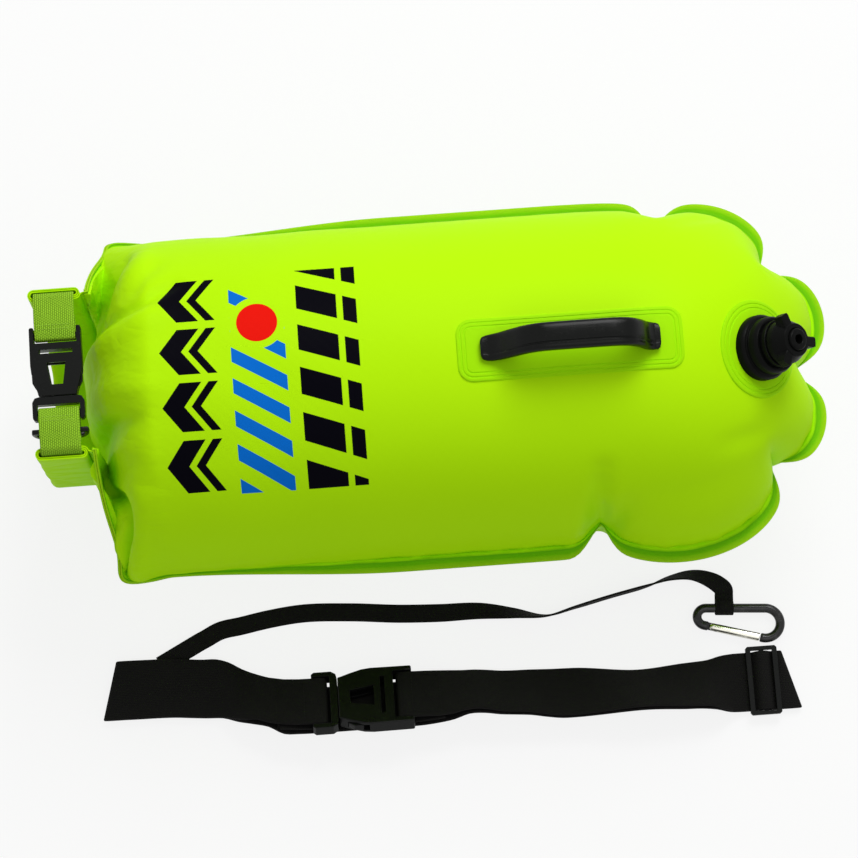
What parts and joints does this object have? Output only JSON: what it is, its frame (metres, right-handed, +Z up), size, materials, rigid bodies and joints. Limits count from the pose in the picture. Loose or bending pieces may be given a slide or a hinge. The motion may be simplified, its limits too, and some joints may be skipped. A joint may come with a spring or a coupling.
{
  "type": "open water swim buoy",
  "caption": "Inflated roll-top dry bag tow float lying flat, with carry handle, oral valve, clipped roll-top, waist belt and tether with carabiner.",
  "frame": {"origin": "on the floor under the middle of the bag, in the flat of its back panel", "axes": "+X along the bag from the roll-top to the valve, +Y away from the belt, +Z up"},
  "size_m": [0.4954, 0.3232, 0.2341],
  "materials": {
    "neon_coated_fabric": "satin",
    "neon_patch_film": "gloss",
    "green_webbing": "ribbed",
    "black_plastic": "satin",
    "black_rubber": "matt",
    "black_webbing": "ribbed",
    "black_aluminium": "anodised",
    "bright_steel": "polished"
  },
  "bodies": {
    "bag": {"front_panel": "neon_coated_fabric", "back_panel": "neon_coated_fabric", "roll_collar": "neon_coated_fabric", "collar_stiffener": "black_plastic", "handle_patch": "neon_patch_film", "handle": "black_plastic", "valve_patch": "neon_patch_film", "valve_base": "black_plastic", "valve_collar": "black_plastic", "closure_strap_far": "green_webbing", "closure_strap_near": "green_webbing", "closure_buckle_socket": "black_plastic", "closure_buckle_plug": "black_plastic"},
    "closure_latch_left": {"closure_buckle_arm_left": "black_plastic"},
    "closure_latch_right": {"closure_buckle_arm_right": "black_plastic"},
    "ring": {"tether_ring": "black_plastic"},
    "knob": {"valve_knob": "black_plastic"},
    "mouthpiece": {"valve_stem": "black_plastic", "valve_seal": "black_rubber"},
    "belt": {"belt_webbing": "black_webbing", "belt_buckle_socket": "black_plastic", "belt_buckle_plug": "black_plastic", "belt_slider": "black_plastic", "tether_belt_tab": "black_webbing", "tether_webbing": "black_webbing", "tether_clip_loop": "black_webbing"},
    "belt_latch_left": {"belt_buckle_arm_left": "black_plastic"},
    "belt_latch_right": {"belt_buckle_arm_right": "black_plastic"},
    "carabiner": {"carabiner_body": "black_aluminium", "carabiner_pin": "bright_steel"},
    "gate": {"carabiner_gate": "bright_steel", "carabiner_spring": "bright_steel"}
  },
  "joints": [
    {"name": "closure_latch_left_press", "type": "hinge", "parent": "bag", "child": "closure_latch_left", "pos_m": [-0.23287, -0.001, 0.16589], "axis": [0, 0, -1], "range_deg": [0, 12], "stiffness_Nm_per_rad": 0.15, "springref_deg": -3},
    {"name": "closure_latch_right_press", "type": "hinge", "parent": "bag", "child": "closure_latch_right", "pos_m": [-0.21758, -0.001, 0.16589], "axis": [0, 0, 1], "range_deg": [0, 12], "stiffness_Nm_per_rad": 0.15, "springref_deg": -3},
    {"name": "ring_swing", "type": "hinge", "parent": "bag", "child": "ring", "pos_m": [-0.22523, -0.0225, 0.16589], "axis": [1, 0, 0], "range_deg": [-20, 45]},
    {"name": "knob_turn", "type": "hinge", "parent": "bag", "child": "knob", "pos_m": [0.20257, -0.00547, 0.18029], "axis": [0.6159, -0.0549, 0.7859], "range_deg": [0, 120]},
    {"name": "mouthpiece_lift", "type": "slide", "parent": "bag", "child": "mouthpiece", "axis": [0.6159, -0.0549, 0.7859], "range_m": [0, 0.003]},
    {"name": "belt_set_away", "type": "slide", "parent": "bag", "child": "belt", "axis": [0, -1, 0], "range_m": [0, 0.4]},
    {"name": "belt_latch_left_press", "type": "hinge", "parent": "belt", "child": "belt_latch_left", "pos_m": [-0.07042, -0.173, 0.01317], "axis": [0, -0.5556, -0.8315], "range_deg": [0, 12], "stiffness_Nm_per_rad": 0.3, "springref_deg": -3},
    {"name": "belt_latch_right_press", "type": "hinge", "parent": "belt", "child": "belt_latch_right", "pos_m": [-0.07042, -0.19197, 0.02585], "axis": [0, 0.5556, 0.8315], "range_deg": [0, 12], "stiffness_Nm_per_rad": 0.3, "springref_deg": -3},
    {"name": "carabiner_tilt", "type": "hinge", "parent": "belt", "child": "carabiner", "pos_m": [0.1719, -0.137, 0.0049], "axis": [-0.9973, 0.0732, 0], "range_deg": [0, 90]},
    {"name": "gate_press", "type": "hinge", "parent": "carabiner", "child": "gate", "pos_m": [0.17532, -0.14972, 0.0049], "axis": [0, 0, 1], "range_deg": [0, 22], "stiffness_Nm_per_rad": 0.02, "springref_deg": -8.59}
  ],
  "couplings": [
    {"joint": "knob_turn", "follows": "mouthpiece_lift", "rad_per_m": 698.13}
  ]
}
